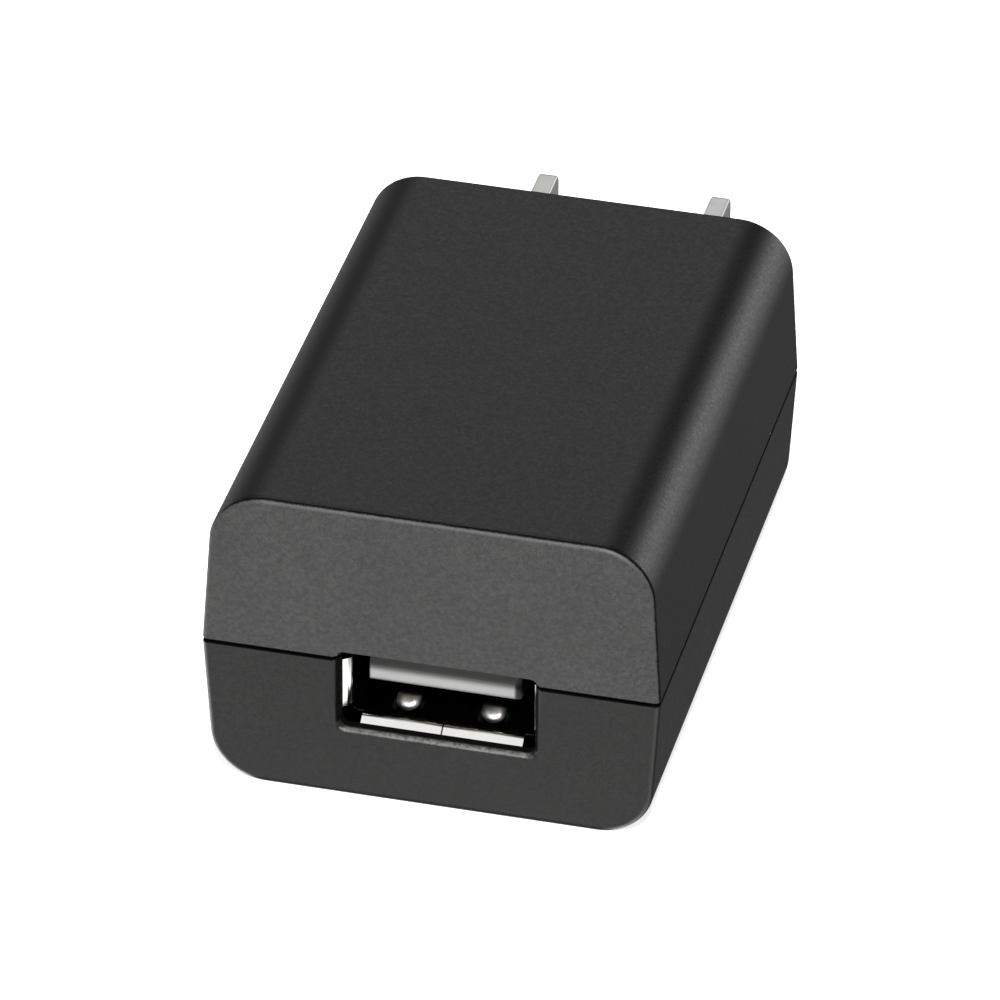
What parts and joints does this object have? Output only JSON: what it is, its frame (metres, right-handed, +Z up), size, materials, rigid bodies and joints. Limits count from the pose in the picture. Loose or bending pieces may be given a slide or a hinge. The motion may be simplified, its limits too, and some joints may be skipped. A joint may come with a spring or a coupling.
{
  "type": "usb wall charger",
  "caption": "Compact dark wall charger: drafted box of an upper and a lower shell, fixed flat blades behind, a USB-A receptacle in front, circuit board inside.",
  "frame": {"origin": "centre of the underside of the overall box, blades included, at the level the charger lies on", "axes": "+X to the right seen from the port side, +Y from the port face towards the blade tips, +Z up"},
  "size_m": [0.0314, 0.0599, 0.0228],
  "materials": {
    "housing": "fine spark-eroded texture, matte, dark grey",
    "blade_nickel": "satin nickel plate on brass",
    "receptacle_steel": "bright tinned steel sheet",
    "tongue_plastic": "off-white moulded plastic",
    "contact_gold": "gold plated",
    "spring_brass": "plain stamped brass",
    "board": "green solder mask",
    "black_nylon": "moulded black nylon",
    "ferrite": "dull sintered grey",
    "copper_wire": "enamelled copper",
    "insulated_wire": "triple insulated wire",
    "yellow_tape": "polyester tape",
    "sleeve_dark": "shrunk dark sleeve, plain, no print",
    "sleeve_green": "shrunk green sleeve, plain, no print",
    "blue_coating": "dipped blue coating",
    "resistor_coating": "painted body, no bands",
    "black_sleeve": "heat-shrink sleeve",
    "epoxy": "moulded epoxy, no print",
    "chip_black": "glazed black",
    "chip_tan": "tan ceramic"
  },
  "bodies": {
    "housing": {"lower_shell": "housing", "upper_shell": "housing", "live_blade": "blade_nickel", "neutral_blade": "blade_nickel", "blade_carrier": "black_nylon", "live_contact_spring": "spring_brass", "neutral_contact_spring": "spring_brass", "usb_shell": "receptacle_steel", "usb_tongue": "tongue_plastic", "usb_tail_vbus": "contact_gold", "usb_tail_dminus": "contact_gold", "usb_tail_dplus": "contact_gold", "usb_tail_gnd": "contact_gold", "bulk_capacitor_left": "sleeve_dark", "bulk_capacitor_right": "sleeve_dark", "output_capacitor_large": "sleeve_green", "output_capacitor_small": "sleeve_green", "supply_capacitor": "sleeve_dark", "safety_capacitor": "blue_coating", "input_choke": "black_sleeve", "fusible_resistor": "resistor_coating", "core_half_front": "ferrite", "core_half_rear": "ferrite", "transformer_bobbin": "black_nylon", "primary_winding": "copper_wire", "winding_insulation": "yellow_tape", "secondary_winding": "insulated_wire", "winding_tape": "yellow_tape", "controller_chip": "epoxy", "bridge_rectifier": "epoxy", "output_diode": "epoxy", "snubber_resistor": "chip_black", "snubber_capacitor": "chip_tan", "start_resistor": "chip_black", "sense_resistor": "chip_black", "feedback_resistor_high": "chip_black", "feedback_resistor_low": "chip_black", "output_filter_capacitor": "chip_tan", "preload_resistor": "chip_black", "main_board": "board"},
    "contact_vbus": {"usb_contact_vbus": "contact_gold"},
    "contact_dminus": {"usb_contact_dminus": "contact_gold"},
    "contact_dplus": {"usb_contact_dplus": "contact_gold"},
    "contact_gnd": {"usb_contact_gnd": "contact_gold"},
    "finger_lower_left": {"usb_finger_lower_left": "receptacle_steel"},
    "finger_upper_left": {"usb_finger_upper_left": "receptacle_steel"},
    "finger_lower_right": {"usb_finger_lower_right": "receptacle_steel"},
    "finger_upper_right": {"usb_finger_upper_right": "receptacle_steel"}
  },
  "joints": [
    {"name": "contact_vbus_flex", "type": "hinge", "parent": "housing", "child": "contact_vbus", "pos_m": [-0.003, -0.0188, 0.00893], "axis": [-1, 0, 0], "range_deg": [0, 3.4], "stiffness_Nm_per_rad": 0.1},
    {"name": "contact_dminus_flex", "type": "hinge", "parent": "housing", "child": "contact_dminus", "pos_m": [-0.0005, -0.0188, 0.00893], "axis": [-1, 0, 0], "range_deg": [0, 3.4], "stiffness_Nm_per_rad": 0.1},
    {"name": "contact_dplus_flex", "type": "hinge", "parent": "housing", "child": "contact_dplus", "pos_m": [0.0015, -0.0188, 0.00893], "axis": [-1, 0, 0], "range_deg": [0, 3.4], "stiffness_Nm_per_rad": 0.1},
    {"name": "contact_gnd_flex", "type": "hinge", "parent": "housing", "child": "contact_gnd", "pos_m": [0.004, -0.0188, 0.00893], "axis": [-1, 0, 0], "range_deg": [0, 3.4], "stiffness_Nm_per_rad": 0.1},
    {"name": "finger_lower_left_flex", "type": "hinge", "parent": "housing", "child": "finger_lower_left", "pos_m": [-0.00244, -0.02005, 0.00563], "axis": [1, 0, 0], "range_deg": [0, 3], "stiffness_Nm_per_rad": 0.2},
    {"name": "finger_upper_left_flex", "type": "hinge", "parent": "housing", "child": "finger_upper_left", "pos_m": [-0.00244, -0.02005, 0.01105], "axis": [-1, 0, 0], "range_deg": [0, 3], "stiffness_Nm_per_rad": 0.2},
    {"name": "finger_lower_right_flex", "type": "hinge", "parent": "housing", "child": "finger_lower_right", "pos_m": [0.00344, -0.02005, 0.00563], "axis": [1, 0, 0], "range_deg": [0, 3], "stiffness_Nm_per_rad": 0.2},
    {"name": "finger_upper_right_flex", "type": "hinge", "parent": "housing", "child": "finger_upper_right", "pos_m": [0.00344, -0.02005, 0.01105], "axis": [-1, 0, 0], "range_deg": [0, 3], "stiffness_Nm_per_rad": 0.2}
  ]
}
